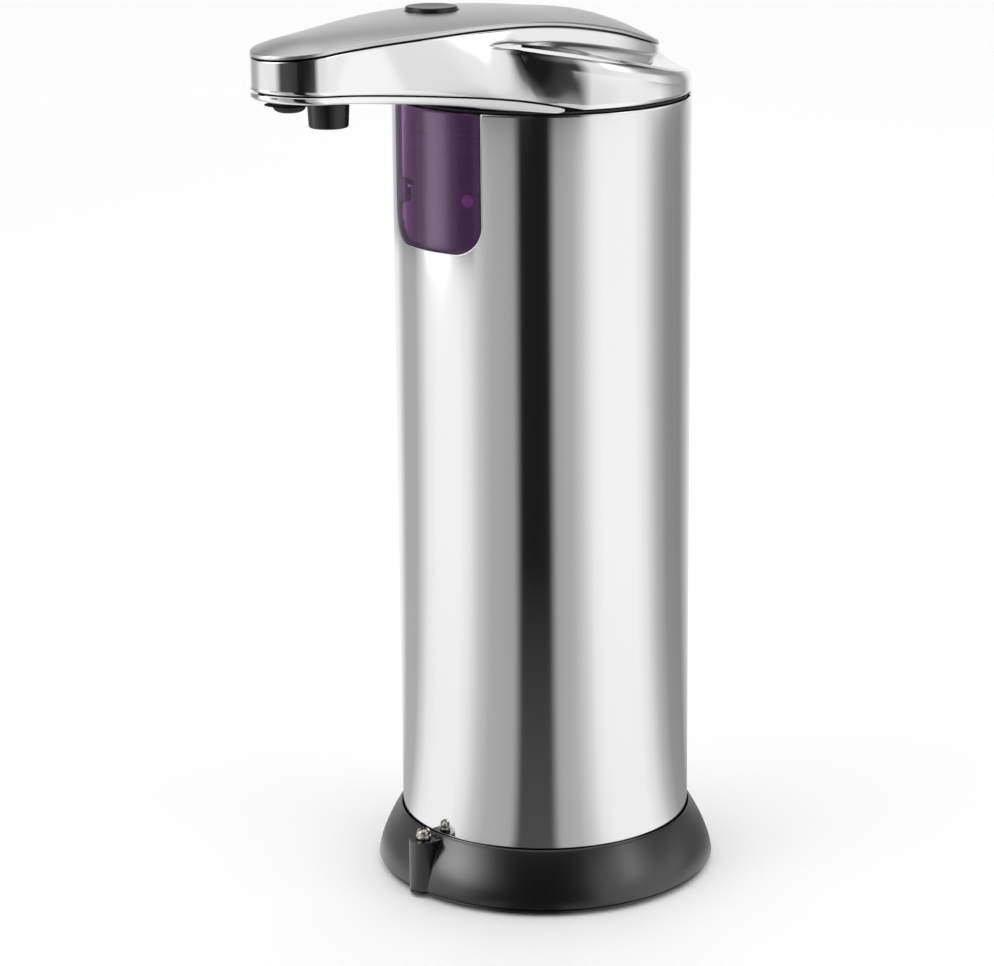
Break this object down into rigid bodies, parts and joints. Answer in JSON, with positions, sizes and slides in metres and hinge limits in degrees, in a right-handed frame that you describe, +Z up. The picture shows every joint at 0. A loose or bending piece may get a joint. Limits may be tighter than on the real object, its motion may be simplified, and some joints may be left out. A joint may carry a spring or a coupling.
{
  "type": "automatic soap dispenser",
  "caption": "Touch-free soap dispenser: steel tube, see-through tank behind a U-shaped window, lift-off chromed head with spout arm, gear pump and button, flared battery base.",
  "frame": {"origin": "on the steel tube's axis, at the table surface under the foot pad", "axes": "+Z up along the tube, -Y from the tube towards the spout, +X to the right seen from the spout's back"},
  "size_m": [0.0776, 0.1153, 0.2],
  "materials": {
    "polished_steel": "polished, fine vertical grain",
    "chrome_shell": "bright plated",
    "satin_steel": "satin",
    "purple_clear": "tinted see-through moulded plastic, gloss",
    "black_plastic": "satin black",
    "black_rubber": "matt black",
    "cell_jacket": "printed jacket left plain",
    "nickel_spring": "nickel plated",
    "brass_pin": "plated",
    "white_nylon": "moulded nylon",
    "clear_silicone": "translucent",
    "board_green": "solder mask",
    "lead_black": "wire cover",
    "lead_red": "wire cover"
  },
  "bodies": {
    "body": {"steel_sleeve": "polished_steel", "soap_tank": "purple_clear", "tank_stud_left": "satin_steel", "tank_stud_right": "satin_steel", "stud_seal_left": "black_rubber", "stud_seal_right": "black_rubber", "base_ring": "black_plastic", "sleeve_gasket": "black_rubber", "lock_screw": "satin_steel", "battery_carrier": "black_plastic", "battery_cell_1": "cell_jacket", "battery_cell_2": "cell_jacket", "battery_cell_3": "cell_jacket", "battery_cell_4": "cell_jacket", "carrier_bridge": "nickel_spring", "terminal_plus": "nickel_spring", "terminal_minus": "nickel_spring", "power_rail_left": "nickel_spring", "power_rail_right": "nickel_spring"},
    "battery_cover": {"battery_cover": "black_plastic", "cover_seal": "black_rubber", "foot_pad": "black_rubber", "cover_bridge_left": "nickel_spring", "cover_bridge_right": "nickel_spring"},
    "head": {"head_shell": "chrome_shell", "top_plate": "satin_steel", "arm_rim": "chrome_shell", "arm_panel": "black_plastic", "nozzle": "black_rubber", "sensor_hood": "black_plastic", "ir_emitter": "black_plastic", "ir_receiver": "black_plastic", "head_chassis": "black_plastic", "spigot_seal": "black_rubber", "head_screw_1": "satin_steel", "head_screw_2": "satin_steel", "head_screw_3": "satin_steel", "head_screw_4": "satin_steel", "motor_can": "polished_steel", "pump_housing": "white_nylon", "pump_cover": "white_nylon", "idler_pin": "polished_steel", "outlet_hose": "clear_silicone", "dip_tube": "clear_silicone", "dip_strainer": "white_nylon", "control_board": "board_green", "tact_switch": "black_plastic", "controller_chip": "black_plastic", "capacitor": "cell_jacket", "contact_pin_left": "brass_pin", "contact_pin_right": "brass_pin", "power_lead_left": "lead_black", "power_lead_right": "lead_red", "motor_lead_left": "lead_black", "motor_lead_right": "lead_red"},
    "pump_drive": {"motor_shaft": "polished_steel", "drive_gear": "white_nylon"},
    "pump_idler": {"idler_gear": "white_nylon"},
    "power_button": {"power_button": "black_rubber"}
  },
  "joints": [
    {"name": "head_lift", "type": "slide", "parent": "body", "child": "head", "axis": [0, 0, 1], "range_m": [0, 0.12]},
    {"name": "battery_cover_slide", "type": "slide", "parent": "body", "child": "battery_cover", "axis": [0, 0, -1], "range_m": [0, 0.06]},
    {"name": "pump_drive_spin", "type": "hinge", "parent": "head", "child": "pump_drive", "pos_m": [0, 0.007, 0.187], "axis": [0, 1, 0], "continuous": true},
    {"name": "pump_idler_spin", "type": "hinge", "parent": "head", "child": "pump_idler", "pos_m": [-0.00606, 0.007, 0.187], "axis": [0, 1, 0], "continuous": true},
    {"name": "power_button_press", "type": "slide", "parent": "head", "child": "power_button", "axis": [0, 0, -1], "range_m": [0, 0.0008], "stiffness_N_per_m": 400}
  ],
  "couplings": [
    {"joint": "pump_idler_spin", "follows": "pump_drive_spin", "ratio": -1}
  ]
}
